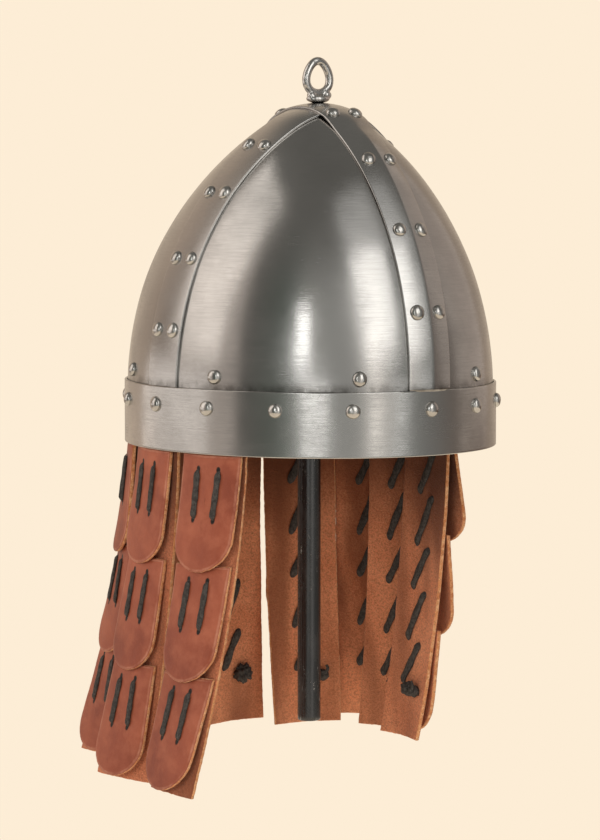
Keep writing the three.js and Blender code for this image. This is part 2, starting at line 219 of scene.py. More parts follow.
def dome_gradient(p):
    moves = SLOPE_STEP * np.eye(3)
    rises = [dome_value(p + move) - dome_value(p - move) for move in moves]
    return np.stack(rises, -1) / (2 * SLOPE_STEP)


def dome_normal(p):
    gradient = dome_gradient(p)
    return gradient / np.linalg.norm(gradient, axis=-1, keepdims=True)


def on_dome(start, offset):
    """Points moved onto the dome and then out from it by offset."""
    p = np.array(start, float)
    for _ in range(SEARCH_ROUNDS):
        gradient = dome_gradient(p)
        p -= gradient * (dome_value(p) / (gradient ** 2).sum(-1))[..., None]
    return p + dome_normal(p) * np.asarray(offset, float)[..., None]


MERIDIAN_STEPS = 800


def meridian():
    """Length along the sheet from the brow to the crown, with each length's height and share."""
    angle = np.linspace(0, math.pi / 2, MERIDIAN_STEPS + 1)
    z = DOME_SPRING_Z + (DOME_TOP_Z - DOME_SPRING_Z) * np.sin(angle)
    share = np.sqrt(np.maximum(0, share_squared(z)))
    steps = np.hypot(np.diff(z), np.diff(share) * DOME_X)
    return np.concatenate([[0], np.cumsum(steps)]), z, share


RUN, RUN_Z, RUN_SHARE = meridian()
MERIDIAN_LENGTH = RUN[-1]


def down_from_crown(length):
    """Height and width share at a length of sheet down from the crown."""
    run = MERIDIAN_LENGTH - np.asarray(length, float)
    z = np.where(run < 0, DOME_SPRING_Z + run, np.interp(run, RUN, RUN_Z))
    return z, np.interp(run, RUN, RUN_SHARE)


def length_at(z):
    if z <= DOME_SPRING_Z:
        return MERIDIAN_LENGTH + DOME_SPRING_Z - z
    return MERIDIAN_LENGTH - float(np.interp(z, RUN_Z, RUN))


def dome_point(degrees, length, offset):
    z, share = down_from_crown(length)
    turn = np.radians(degrees)
    x = -DOME_X * share * np.sin(turn)
    y = -DOME_Y * share * np.cos(turn) - lean(z)
    return on_dome(np.stack(np.broadcast_arrays(x, y, z), -1), offset)


OUTLINE_STEPS = 7200


def brow_angles(count, moved):
    """Plan angles that divide the brow's outline into equal lengths, from the front. Every
    one but the first is moved along by the same length."""
    turn = np.linspace(0, 2 * math.pi, OUTLINE_STEPS + 1)
    speed = np.hypot(BROW_X * np.cos(turn), BROW_Y * np.sin(turn))
    steps = np.diff(turn) * (speed[1:] + speed[:-1]) / 2
    run = np.concatenate([[0], np.cumsum(steps)])
    places = np.arange(count) / count * run[-1]
    places[1:] += moved
    return np.degrees(np.interp(places, run, turn))


PLATE_RIVET_ANGLES = brow_angles(BROW_RIVETS, 0)
BROW_RIVET_ANGLES = brow_angles(BROW_RIVETS, BROW_RIVET_SHIFT)


# ---- Sheet metal ----
EDGE_ROUND = 0.5
STRAP_DENT = 0.10
PLATE_DENT = 0.20
BROW_DENT = 0.12


def sheet_section(half, thickness, columns):
    """The closed outline of a sheet's cross-section: places across it, and heights above its
    inner face, with rounded corners and points beside them that keep the faces flat."""
    turn = np.radians([0, 30, 60, 90])
    keep = EDGE_ROUND * 2.2
    across = np.linspace(half - keep, -half + keep, columns)
    centre = np.array([half, thickness]) - EDGE_ROUND
    corner = centre + EDGE_ROUND * np.stack([np.cos(turn), np.sin(turn)], -1)
    face = np.stack([across, 0 * across + thickness], -1)
    outer = np.concatenate([corner, face, corner[::-1] * (-1, 1)])
    return np.concatenate([outer, (0, thickness) - outer])


def end_steps(rows):
    """Shares along a sheet, with close rows at both ends so that the ends look cut."""
    middle = np.linspace(0.004, 0.996, rows - 2)
    return np.concatenate([[0], middle, [1]])


def strap_point(lengthwise, sign, length, side, offset):
    """A point of a strap: a length down from the crown, and a distance from its centreline."""
    z, share = down_from_crown(length)
    if lengthwise == "y":
        bow = LONG_STRAP_BOW * np.sin(math.pi * np.minimum(1, length / MERIDIAN_LENGTH))
        start = (side + bow, sign * DOME_Y * share - lean(z), z)
    else:
        forward = lean(z) + SIDE_STRAP_LEAN * rise_share(z) ** SIDE_LEAN_POWER
        start = (sign * DOME_X * share, side - forward, z)
    return on_dome(np.stack(np.broadcast_arrays(*start), -1), offset)


def long_strap_offset(length, side):
    """Height of the long strap's inner face: it rides over the side straps at the crown, and
    is folded to a keel that fades out towards the crown."""
    lap = (STEEL + STRAP_GAP) * (1 - smoothstep(length, *LAP_RAMP))
    keel = KEEL_HEIGHT * smoothstep(length, *KEEL_FADE)
    share = np.abs(side) / STRAP_HALF_WIDTH
    fold = 1 - np.sqrt(share ** 2 + KEEL_BLUNTNESS ** 2)
    return STRAP_GAP + lap + keel * fold


def side_strap_offset(_, side):
    """Height of a side strap's inner face, the same all along it."""
    return np.full_like(side, STRAP_GAP)


def dented_sheet(name, rows, dent, material):
    """A sheet lofted through rings of points, each moved out along the dome's normal by dent."""
    points = np.array(rows)
    points = points + dome_normal(points) * dent(points)[..., None]
    faces = loft_faces(len(rows), points.shape[1])
    return add_mesh(name, points.reshape(-1, 3), faces, [material])


def strap_piece(name, lengthwise, signed_lengths, columns, offset_at, material, seed):
    """A strap of lengths measured from the crown, which are negative towards -X or -Y."""
    section = sheet_section(STRAP_HALF_WIDTH, STEEL, columns)
    side = section[:, 0]
    rows = []
    for signed in signed_lengths:
        length, sign = abs(signed), -1 if signed < 0 else 1
        height = offset_at(length, side) + section[:, 1]
        rows.append(strap_point(lengthwise, sign, length, side, height))

    def dent(points):
        return STRAP_DENT * wobble(points, 26, seed)

    return dented_sheet(name, rows, dent, material)


def long_strap(material):
    lengths = (end_steps(240) * 2 - 1) * length_at(STRAP_BOTTOM_Z)
    return strap_piece("long_strap", "y", lengths, 33, long_strap_offset, material, 1)


def side_strap(name, sign, material, seed):
    lengths = SIDE_STRAP_END + end_steps(120) * (length_at(STRAP_BOTTOM_Z) - SIDE_STRAP_END)
    return strap_piece(name, "x", sign * lengths, 17, side_strap_offset, material, seed)


def plate(name, start_angle, material, seed):
    """A plate between two seams under the straps, lowered behind the brow band."""
    lengths = PLATE_TOP_RADIUS + end_steps(110) * (length_at(PLATE_BOTTOM_Z) - PLATE_TOP_RADIUS)
    rows = []
    for length in lengths:
        _, share = down_from_crown(length)
        trim = math.degrees(math.asin(SEAM / (float(share) * DOME_X)))
        half = float(share) * DOME_X * math.radians(90 - 2 * trim) / 2
        section = sheet_section(half, STEEL, 73)
        angle = start_angle + 45 + section[:, 0] / half * (45 - trim)
        rows.append(dome_point(angle, length, section[:, 1] - STEEL))

    def dent(points):
        dents = PLATE_DENT * (wobble(points, 36, seed) - 1) + 0.03 * wobble(points, 12, seed + 5)
        return dents * smoothstep(points[..., 2], BROW_HEIGHT, 60)

    return dented_sheet(name, rows, dent, material)


def brow_outline(turn):
    """Points on the outside of the brow band's lower edge, and the way it faces there."""
    s, c = np.sin(turn), np.cos(turn)
    outward = np.stack([-s / BROW_X, -c / BROW_Y, 0 * s], -1)
    outward /= np.linalg.norm(outward, axis=-1, keepdims=True)
    return np.stack([-BROW_X * s, -BROW_Y * c, 0 * s], -1), outward


def brow_band(material):
    """The rim's upright band, a closed ring with rounded edges."""
    section = sheet_section(BROW_HEIGHT / 2, STEEL, 23)
    rim, outward = brow_outline(around(360)[:, None])
    height = section[None, :, 0] + BROW_HEIGHT / 2
    points = rim + outward * (section[None, :, 1] - STEEL)[..., None]
    points[..., 2] += height
    points = points + outward * (BROW_DENT * wobble(points, 30, 9))[..., None]
    rows, ring = points.shape[:2]
    faces = [tuple(v % (rows * ring) for v in f) for f in loft_faces(rows + 1, ring, False)]
    return add_mesh("brow_band_sheet", points.reshape(-1, 3), faces, [material])


# ---- Rivets ----
RIVET_SIDES = 24
RIVET_ROOT = 0.6


def around(sides):
    """Angles that divide a full turn."""
    return np.linspace(0, 2 * math.pi, sides + 1)[:-1]


def rivet_shape():
    """A domed head turned about +Z: points and faces."""
    rise = np.radians([0, 8, 18, 30, 42, 54, 66, 78])
    r = RIVET_RADIUS * np.concatenate([[0.9], np.cos(rise)])[:, None]
    h = np.concatenate([[-RIVET_ROOT], RIVET_HEIGHT * np.sin(rise) ** 0.9])[:, None]
    turn = around(RIVET_SIDES)
    rings = np.stack([r * np.cos(turn), r * np.sin(turn), h + 0 * turn], -1)
    points = np.concatenate([rings.reshape(-1, 3), [[0, 0, RIVET_HEIGHT]]])
    faces = loft_faces(len(r), RIVET_SIDES, False)
    last = (len(r) - 1) * RIVET_SIDES
    tip = len(points) - 1
    faces += [(last + k, last + (k + 1) % RIVET_SIDES, tip) for k in range(RIVET_SIDES)]
    faces.append(tuple(range(RIVET_SIDES - 1, -1, -1)))
    return points, faces


def rivets(name, places, material):
    """One mesh of domed heads. Each is a little out of round, as a hammered head is."""
    base, faces = rivet_shape()
    shapes = []
    for k, (centre, outward) in enumerate(places):
        w = np.asarray(outward) / np.linalg.norm(outward)
        u = np.cross(w, (0, 0, 1) if abs(w[2]) < 0.9 else (1, 0, 0))
        u /= np.linalg.norm(u)
        v = np.cross(w, u)
        own = base * (1 + 0.05 * math.sin(k * 2.4), 1 + 0.05 * math.cos(k * 1.7), 1)
        own = own + base * (0.035 * wobble(base + k * 19.0, 3.2, 3))[:, None]
        shapes.append((centre + own[:, :1] * u + own[:, 1:2] * v + own[:, 2:] * w, faces))
    points, faces = joined(shapes)
    return add_mesh(name, points, faces, [material])


def brow_rivet_places():
    point, outward = brow_outline(np.radians(BROW_RIVET_ANGLES))
    return zip(point + (0, 0, BROW_RIVET_Z), outward)


def plate_rivet_places():
    angles = PLATE_RIVET_ANGLES[1::2]
    centre = dome_point(angles, length_at(PLATE_RIVET_Z), 0 * angles)
    return zip(centre, dome_normal(centre))


def strap_rivet_places(lengthwise, sign, heights, offset_at):
    """Pairs of rivets along a strap, each square to the strap's outer face."""
    def on_face(length, side):
        top = offset_at(length, side) + STEEL
        return strap_point(lengthwise, sign, length, side, top)[0]

    places = []
    for z in heights:
        for pair in (-1, 1):
            length, side = length_at(z), np.array([pair * RIVET_PAIR_HALF])
            centre = on_face(length, side)
            w = np.cross(on_face(length + 1, side) - centre, on_face(length, side + 1) - centre)
            if np.dot(w, dome_normal(centre)) < 0:
                w = -w
            places.append((centre, w))
    return places


# ---- Ring on the crown ----
RING_HALF = 8.1
RING_TALL = 9.2
RING_WIRE = 2.4
RING_NARROWING = 0.2
RING_FOOT = 7.4


def tube(path, radii, flat=1.0, ring=16, up=(0, 0, 1)):
    """A closed tube along a path. flat below 1 makes a thong instead of a round cord: the
    across axis keeps the radius and the axis nearest up is thinned."""
    path = np.asarray(path, float)
    ahead = np.gradient(path, axis=0)
    ahead /= np.linalg.norm(ahead, axis=1, keepdims=True)
    up = np.broadcast_to(np.asarray(up, float), path.shape)
    across = np.cross(ahead, up)
    across /= np.linalg.norm(across, axis=1, keepdims=True)
    thin = np.cross(across, ahead)
    turn = around(ring)
    radii = np.broadcast_to(np.asarray(radii, float), (len(path),))[:, None, None]
    cos, sin = np.cos(turn)[None, :, None], np.sin(turn)[None, :, None]
    points = path[:, None] + radii * (cos * across[:, None] + sin * flat * thin[:, None])
    return points.reshape(-1, 3), loft_faces(len(path), ring)


def joined(shapes):
    """Several point and face lists as one."""
    points, faces, start = [], [], 0
    for shape_points, shape_faces in shapes:
        points.append(shape_points)
        faces += [tuple(i + start for i in face) for face in shape_faces]
        start += len(shape_points)
    return np.concatenate(points), faces


def blob(centre, radii, seed, rough=0.12, size=3.0, rings=14):
    """A lump: an ellipsoid with an uneven surface."""
    rise = np.linspace(-math.pi / 2, math.pi / 2, rings)[1:-1]
    turn = around(2 * rings)
    unit = np.stack([
        np.cos(rise)[:, None] * np.cos(turn),
        np.cos(rise)[:, None] * np.sin(turn),
        np.repeat(np.sin(rise)[:, None], len(turn), 1)], -1).reshape(-1, 3)
    unit = np.concatenate([unit, [[0, 0, -1], [0, 0, 1]]])
    points = unit * np.asarray(radii)
    points = centre + points * (1 + rough * wobble(points + seed * 5.0, size, seed))[:, None]
    ring, rows = len(turn), len(rise)
    faces = loft_faces(rows, ring, False)
    low, high = rows * ring, rows * ring + 1
    faces += [((k + 1) % ring, k, low) for k in range(ring)]
    last = (rows - 1) * ring
    faces += [(last + k, last + (k + 1) % ring, high) for k in range(ring)]
    return points, faces


def top_ring(material):
    """An egg-shaped ring on a small foot, fused to it with uneven welds."""
    centre = (RING_LOW + RING_HIGH) / 2
    foot = np.array([centre[0], centre[1], RING_LOW[2]])
    middle = foot + (0, 0, RING_WIRE + RING_TALL + 1.3)
    t = around(96)
    x = RING_HALF * np.sin(t) * (1 - RING_NARROWING * np.cos(t))
    loop = middle + np.stack([x, 0 * t, RING_TALL * np.cos(t)], -1)
    points, faces = joined([
        tube(np.concatenate([loop, loop[:3]]), RING_WIRE, ring=20, up=(0, 1, 0)),
        blob(foot + (0, 0, 0.4), (RING_FOOT, RING_FOOT * 0.8, 2.6), 2, 0.1, 5),
        blob(foot + (5.4, -1.2, 2.6), (3.0, 2.6, 2.6), 4, 0.15),
        blob(foot + (-4.9, -0.6, 2.2), (2.8, 2.8, 2.0), 6, 0.15),
        blob(foot + (2.2, 2.4, 2.0), (4.2, 2.4, 2.0), 7, 0.15)])
    piece = add_mesh("top_ring_looks", points, faces, [material])
    fuse = piece.modifiers.new("fuse", "REMESH")
    fuse.mode = "VOXEL"
    fuse.voxel_size = 0.42 * MM
    fuse.use_smooth_shade = True
    soften = piece.modifiers.new("soften", "SMOOTH")
    soften.factor = 0.5
    soften.iterations = 4
    return piece


# ---- Leather curtain ----
BOW = (STRIP_X + STRIP_Y) / 2


def strip_frame(strip, z):
    """The middle of a strip's outer face and the way the face looks, at each height."""
    z = np.asarray(z, float)
    own = STRIPS[strip]
    drop = np.maximum(0, z / own.bottom) ** SWAY_POWER
    angle, inset, turn = [a + (b - a) * drop for a, b in zip(own.rim, own.hem)]
    s, c = np.sin(np.radians(angle)), np.cos(np.radians(angle))
    bare = np.arctan2(s / STRIP_X, c / STRIP_Y)
    heading = bare + np.radians(turn)
    outward = np.stack([-np.sin(heading), -np.cos(heading), 0 * z], -1)
    middle = np.stack([
        -STRIP_X * s + inset * np.sin(bare), -STRIP_Y * c + inset * np.cos(bare), z], -1)
    return middle, outward


def strip_point(strip, z, side, offset):
    """A point at a distance to one side of a strip's middle and above its outer face."""
    side, offset = np.asarray(side, float), np.asarray(offset, float)
    middle, outward = strip_frame(strip, z)
    along = np.stack([outward[..., 1], -outward[..., 0], 0 * outward[..., 0]], -1)
    radius = BOW + offset
    out = (radius * np.cos(side / BOW) - BOW)[..., None]
    return middle + out * outward - (radius * np.sin(side / BOW))[..., None] * along


def walk(corners, step):
    """A closed outline's corners with points added every step or so."""
    points = []
    for a, b in zip(corners, np.roll(corners, -1, axis=0)):
        count = max(1, round(math.dist(a, b) / step))
        points += [a + (b - a) * k / count for k in range(count)]
    return np.array(points)


def scale_outline():
    """Half-round below, and straight at the sides and across the top."""
    radius = SCALE_WIDTH / 2
    turn = np.radians(np.linspace(180, 360, 60))
    low = np.stack([radius * np.cos(turn), radius + radius * np.sin(turn)], -1)
    top = np.array([(radius, SCALE_LENGTH), (-radius, SCALE_LENGTH)])
    return walk(np.concatenate([low, top]), 1.3)


# Distances in from the cut edge, with the outer face's height below its full thickness there
# and the inner face's height above the face below it.
RIM = np.array([
    (0.0, 0.95, 0.45), (0.25, 0.55, 0.18), (0.6, 0.28, 0.05), (1.0, 0.16, 0),
    (1.4, 0.22, 0), (1.8, 0.08, 0), (2.8, 0, 0), (4.6, 0, 0), (7.5, 0, 0), (11, 0, 0)])
SPINE_SHARES = (0.35, 0.7, 1.0)
FRAY = 0.22


def leather_piece(name, outline, span, place, materials, seed):
    """A piece cut from hide: rings of points step in from the cut edge on both faces and meet
    on a spine, the upright line whose ends are in span. place(across, up, share) gives a point,
    share being the height in the hide."""
    spine = np.stack([0 * outline[:, 0], np.clip(outline[:, 1], *span)], -1)
    reach = np.linalg.norm(outline - spine, axis=1)
    fray = FRAY * wobble(np.c_[outline, 0 * reach], 2.2, seed)
    fray += FRAY * 0.8 * wobble(np.c_[outline, 0 * reach], 0.9, seed + 3)
    inward = (spine - outline) / reach[:, None]
    edge = outline - inward * fray[:, None]
    steps = [(np.minimum(d, reach * 0.5), dip, rise) for d, dip, rise in RIM]
    last = steps[-1][0]
    steps += [(last + (reach - last) * share, 0, 0) for share in SPINE_SHARES]
    outer, inner = [], []
    for d, dip, rise in steps:
        flat = edge + inward * d[:, None]
        outer.append((flat, LEATHER - dip + 0 * d, d))
        inner.append((flat, rise + 0 * d, d))
    rows = outer[::-1] + inner
    points = np.concatenate([place(flat[:, 0], flat[:, 1], h) for flat, h, _ in rows])
    ring = len(outline)
    faces = loft_faces(len(rows), ring, False)
    grain = (len(steps) - 2) * ring
    indices = np.full(len(faces), 2)
    indices[:grain] = 0
    indices[grain:grain + 3 * ring] = 1
    piece = add_mesh(name, points, faces, materials, indices)
    add_uv(piece, "cut", np.concatenate([flat for flat, _, _ in rows]))
    add_uv(piece, "rim", np.concatenate([np.c_[d, h] for _, h, d in rows]))
    weld(piece)
    return piece


def add_uv(piece, name, values):
    """A UV map that holds two lengths for each point, in metres."""
    mesh = piece.data
    loops = np.zeros(len(mesh.loops), np.int32)
    mesh.loops.foreach_get("vertex_index", loops)
    layer = mesh.uv_layers.new(name=name)
    layer.data.foreach_set("uv", (np.asarray(values)[loops] * MM).ravel())


def weld(piece):
    """Joins the points that coincide along a spine, so that the piece is closed."""
    work = bmesh.new()
    work.from_mesh(piece.data)
    bmesh.ops.remove_doubles(work, verts=work.verts, dist=0.002 * MM)
    bmesh.ops.recalc_face_normals(work, faces=work.faces)
    work.to_mesh(piece.data)
    work.free()


def backing(strip, number, materials):
    """A strip's backing: a long band of hide with a slightly uneven hem and sides."""
    half = STRIPS[strip].width / 2
    low, high = STRIPS[strip].bottom, STRIP_TOP_Z
    corners = np.array([(-half, low), (0, low + 0.4), (half, low), (half, high), (-half, high)])
    outline = walk(corners, 1.6)
    outline[:, 0] += 0.5 * wobble(np.c_[outline, 0 * outline[:, 0]], 30, number + 20)

    def place(across, up, share):
        curl = 0.5 * wobble(np.c_[across * 0.4, up, 0 * up], 40, number)
        below = smoothstep(-up, 6, 60)
        return strip_point(strip, up, across, share - LEATHER + curl * below * 0.5)

    return leather_piece(
        f"backing_{strip}_looks", outline, (low + half, high - half), place, materials,
        number + 31)


SCALE_SLACK = 0.5


def scale_tip(strip, row):
    """Height of the lower end of a scale."""
    lowest = STRIPS[strip].bottom + TIP_ABOVE_HEM
    return TOP_TIP_Z + (lowest - TOP_TIP_Z) * row / 2


def scale_height(strip, row, across, up):
    """Height of a scale's inner face above its strip."""
    sideways = across / (SCALE_WIDTH / 2)
    flare = STRIPS[strip].flare[row] * ((1 - sideways) / 2) ** 2
    lift = SCALE_GAP + (SCALE_LIFT + flare) * (1 - up / SCALE_LENGTH)
    own = 0.35 * math.sin(row * 2.1 + len(strip) * 1.3)
    dome = SCALE_SLACK * (1 - sideways ** 2)
    return lift + dome + own * (1 - np.clip(up / SCALE_LENGTH, 0, 1))


def scale_place(strip, number, row, across, up):
    """Where a point of a scale lies on its strip: distance to one side, and height. Each scale
    is turned a little in its own plane, and shifted a little to one side."""
    turn = 0.022 * math.sin(number * 3.7 + row * 2.3)
    shift = 0.5 * math.sin(number * 1.9 + row * 4.1)
    from_top = up - SCALE_LENGTH
    side = across * math.cos(turn) - from_top * math.sin(turn) + shift
    z = scale_tip(strip, row) + SCALE_LENGTH + across * math.sin(turn) + from_top * math.cos(turn)
    return side, z


def scale(strip, number, row, materials):
    """A rounded scale, pulled in a little under its two stitches."""
    half = SCALE_WIDTH / 2

    def place(across, up, share):
        side, z = scale_place(strip, number, row, across, up)
        uneven = 0.25 * wobble(np.c_[across, up, 0 * up], 16, number * 3 + row)
        height = scale_height(strip, row, across, up) + share + uneven
        return strip_point(strip, z, side, height - pressed(across, up))

    return leather_piece(
        f"scale_{strip}_{row + 1}_looks", scale_outline(), (half, SCALE_LENGTH - half), place,
        materials, number * 3 + row + 60)


# ---- Laces ----
LACE_SIDE = 6.8
LACE_UP = (30.0, 57.0)
LACE_HALF = 2.0
INNER_LACE_HALF = 2.4
ROUND_KNOT = "back_middle"
LACE_STEPS = 25


def pointed(share, start, growth, power):
    """1 along a lace, falling at both ends, from the share of the way along it."""
    return np.minimum(1, start + np.minimum(share, 1 - share) * growth) ** power


def pressed(across, up):
    """How far the hide is pulled in under a lace."""
    beside = np.exp(-((np.abs(across) - LACE_SIDE) / 2.6) ** 2)
    along = smoothstep(up, 26, 32) * (1 - smoothstep(up, 55, 61))
    return 0.35 * beside * along


def outer_lace(strip, number, row, sign):
    """A thong over a scale's face, its pointed ends diving into the slits."""
    share = np.linspace(0, 1, LACE_STEPS)
    lean_out = 0.9 * math.sin(number * 5.1 + row * 2.2 + sign)
    up = LACE_UP[0] - 0.8 + (LACE_UP[1] - LACE_UP[0] + 1.6) * share
    across = sign * LACE_SIDE + lean_out * (share - 0.5) + 0 * up
    side, z = scale_place(strip, number, row, across, up)
    arch = 2.2 * pointed(share, 0, 14, 0.7)
    height = scale_height(strip, row, across, up) + LEATHER - 1.6 + arch
    path = strip_point(strip, z, side, height)
    _, outward = strip_frame(strip, z)
    width = LACE_HALF * pointed(share, 0.3, 6.5, 0.9)
    width *= 1 + 0.08 * np.sin(share * 17 + number + row * 3)
    return tube(path, width, 0.5, 14, outward)


def inner_lace(strip, number, start, end):
    """A thong across a strip's inner face from one hole to another, each (side, z)."""
    share = np.linspace(0, 1, LACE_STEPS)
    side = start[0] + (end[0] - start[0]) * share
    z = start[1] + (end[1] - start[1]) * share
    side = side + 0.7 * np.sin(share * math.pi) * math.sin(number * 2.7 + start[1])
    path = strip_point(strip, z, side, -LEATHER + 1.0 - 2.0 * pointed(share, 0, 8, 0.7))
    _, outward = strip_frame(strip, z)
    width = INNER_LACE_HALF * pointed(share, 0.25, 8, 0.7)
    width *= 1 + 0.1 * np.sin(share * 13 + number)
    return tube(path, width, 0.55, 14, outward)


def knot(strip, number):
    """The stopper knot that ends a lace, on the inner face by the lowest hole."""
    z = scale_tip(strip, 2) + LACE_UP[0] - 2
    at = strip_point(strip, np.array([z]), -LACE_SIDE, -LEATHER - 2.6)[0]
    if strip == ROUND_KNOT:
        return [blob(at, (5.4, 5.4, 5.6), number + 1, 0.5, 1.6, 20)]
    _, outward = strip_frame(strip, z)
    inward = -outward
    along = np.cross((0, 0, 1), inward)
    spread = 1.5 + 1.3 * (number % 3)
    tail = np.array([(3, 1, 0), (5.5, 2.5, 1.5), (6.5, 3, 4), (5.5, 3, 6)])
    way = np.linspace(0, 3, 13)
    aside, off, up = [np.interp(way, range(4), row)[:, None] for row in tail.T]
    path = at + aside * along + off * inward + up * np.array([0, 0, 1])
    return [
        blob(at - along * spread * 0.6, (4.2, 4.2, 4.4), number + 1, 0.3, 1.6, 18),
        blob(at + along * spread + (0, 0, -0.8), (3.6, 3.6, 3.4), number + 9, 0.3, 1.6, 18),
        tube(path, np.linspace(1.5, 0.8, 13), 0.6, 10, inward)]


def laces(strip, number, material):
    """A strip's lace: two stitches on every scale, the crossings behind, and its end knot."""
    shapes = []
    for row in range(3):
        for sign in (-1, 1):
            shapes.append(outer_lace(strip, number, row, sign))
        low, high = [scale_tip(strip, row) + up for up in LACE_UP]
        shapes.append(inner_lace(strip, number, (LACE_SIDE, low), (-LACE_SIDE, high)))
        if row < 2:
            below = scale_tip(strip, row + 1) + LACE_UP[1]
            shapes.append(inner_lace(strip, number, (-LACE_SIDE, low), (LACE_SIDE, below)))
    shapes += knot(strip, number)
    points, faces = joined(shapes)
    return add_mesh(f"laces_{strip}", points, faces, [material])


# ---- Display post ----
POST_SIDES = 48


def display_post(material):
    """A round post with its sharp edges taken off."""
    radius = (POST_HIGH[0] - POST_LOW[0]) / 2
    low, high = POST_LOW[2], POST_HIGH[2]
    profile = [
        (0, low), (radius - 0.8, low), (radius - 0.2, low + 0.3), (radius, low + 1)]
    profile += [(radius, z) for z in np.linspace(low + 3, high - 3, 60)]
    profile += [(radius, high - 1), (radius - 0.3, high - 0.3), (radius - 1, high), (0, high)]
    turn = around(POST_SIDES)
    r, z = np.array(profile).T[:, :, None]
    points = np.stack([r * np.cos(turn), r * np.sin(turn), z + 0 * turn], -1).reshape(-1, 3)
    piece = add_mesh(
        "display_post", points, loft_faces(len(profile), POST_SIDES, False), [material])
    weld(piece)
    return piece


# ---- Shader helpers ----
class Nodes:
    """A node tree that is built one call at a time."""

    def __init__(self, tree):
        self.tree = tree

    def add(self, kind, **settings):
        node = self.tree.nodes.new(kind)
        for key, value in settings.items():
            setattr(node, key, value)
        return node

    def put(self, socket, value):
        if isinstance(value, bpy.types.NodeSocket):
            self.tree.links.new(value, socket)
        else:
            socket.default_value = value

    def math(self, operation, a, b=0.0):
        node = self.add("ShaderNodeMath", operation=operation)
        self.put(node.inputs[0], a)
        self.put(node.inputs[1], b)
        return node.outputs[0]

    def times(self, a, b):
        return self.math("MULTIPLY", a, b)

    def total(self, *terms):
        """The sum of some values, each with its weight."""
        value = self.times(*terms[0])
        for term in terms[1:]:
            value = self.math("ADD", value, self.times(*term))
        return value

    def vector(self, operation, a, b=(0, 0, 0)):
        node = self.add("ShaderNodeVectorMath", operation=operation)
        self.put(node.inputs[0], a)
        self.put(node.inputs[1], b)
        return node.outputs["Value" if operation == "DOT_PRODUCT" else "Vector"]

    def parts(self, vector):
        node = self.add("ShaderNodeSeparateXYZ")
        self.put(node.inputs[0], vector)
        return node.outputs

    def whole(self, x, y, z):
        node = self.add("ShaderNodeCombineXYZ")
        for socket, value in zip(node.inputs, (x, y, z)):
            self.put(socket, value)
        return node.outputs[0]

    def noise(self, vector, scale, detail, rough):
        node = self.add("ShaderNodeTexNoise")
        self.put(node.inputs["Vector"], vector)
        for key, value in (("Scale", scale), ("Detail", detail), ("Roughness", rough)):
            node.inputs[key].default_value = value
        return node.outputs[0]

    def remap(self, value, a, b, low=0.0, high=1.0, smooth=False):
        node = self.add("ShaderNodeMapRange")
        if smooth:
            node.interpolation_type = "SMOOTHSTEP"
        for index, v in enumerate((value, a, b, low, high)):
            self.put(node.inputs[index], v)
        return node.outputs[0]

    def ramp(self, value, stops):
        node = self.add("ShaderNodeValToRGB")
        elements = node.color_ramp.elements
        while len(elements) < len(stops):
            elements.new(0.5)
        for element, (position, colour) in zip(elements, stops):
            element.position = position
            element.color = (*colour, 1)
        self.put(node.inputs[0], value)
        return node.outputs[0]

    def mix(self, share, a, b):
        node = self.add("ShaderNodeMix", data_type="RGBA")
        self.put(node.inputs[0], share)
        for socket, value in zip((node.inputs[6], node.inputs[7]), (a, b)):
            self.put(socket, value if isinstance(value, bpy.types.NodeSocket) else (*value, 1))
        return node.outputs[2]


class Shader(Nodes):
    """A material. place is the point in the part's own frame, in metres."""

    def __init__(self, name):
        self.material = bpy.data.materials.new(name)
        self.material.use_nodes = True
        super().__init__(self.material.node_tree)
        self.surface = self.tree.nodes["Principled BSDF"].inputs
        self.place = self.add("ShaderNodeTexCoord").outputs["Object"]

    def set(self, name, value):
        self.put(self.surface[name], value)

    def dry(self, rough, specular, sheen=0.0):
        """A surface with no metal in it."""
        self.set("Roughness", rough)
        self.set("Specular IOR Level", specular)
        self.set("Sheen Weight", sheen)

    def spots(self, scale, detail, rough):
        return self.noise(self.place, scale, detail, rough)

    def stain(self, base, colour, value, a, b, most=1.0):
        """The colour laid over base, by value from none at a up to most at b."""
        return self.mix(self.remap(value, a, b, 0, most), base, colour)

    def bump(self, height, distance):
        node = self.add("ShaderNodeBump")
        node.inputs["Distance"].default_value = distance
        self.put(node.inputs["Height"], height)
        self.set("Normal", node.outputs[0])

    def hide_map(self, name):
        """The two lengths that a piece of hide keeps at each point, in millimetres."""
        lengths = self.add("ShaderNodeUVMap", uv_map=name).outputs[0]
        return self.parts(self.vector("MULTIPLY", lengths, (1 / MM, 1 / MM, 1)))


def shade(colour, share):
    return tuple(min(1, c * share) for c in colour)


# ---- Materials ----
PLATE_TINT = (0.520, 0.505, 0.485)
STRAP_TINT = (0.560, 0.545, 0.525)
BROW_TINT = (0.560, 0.545, 0.520)
RIVET_TINT = (0.600, 0.580, 0.550)
RING_TINT = (0.660, 0.640, 0.610)
# Laid in patches on the steel just above the brow band's top edge.
ABOVE_BROW_DARK = (0.10, 0.09, 0.08)
LEATHER_DEEP = (0.230, 0.052, 0.027)
LEATHER_WARM = (0.400, 0.104, 0.052)
LEATHER_PALE = (0.490, 0.160, 0.090)
LEATHER_RUBBED = (0.560, 0.255, 0.165)
# Painted shade of the lace slits, which the mesh doesn't cut.
SLIT_SHADE = (0.008, 0.006, 0.005)
SUEDE_LOW = (0.640, 0.205, 0.094)
SUEDE_HIGH = (0.870, 0.340, 0.175)
UNDYED_LOW = (0.540, 0.172, 0.084)
UNDYED_HIGH = (0.740, 0.270, 0.140)
CUT_GAP = (0.10, 0.032, 0.014)
CUT_DEEP = (0.560, 0.190, 0.070)
CUT_WARM = (0.860, 0.380, 0.160)
CUT_PALE = (0.900, 0.520, 0.280)
LACE_DARK = (0.042, 0.037, 0.034)
LACE_GREY = (0.105, 0.096, 0.088)
LACE_FUZZ = (0.135, 0.120, 0.105)
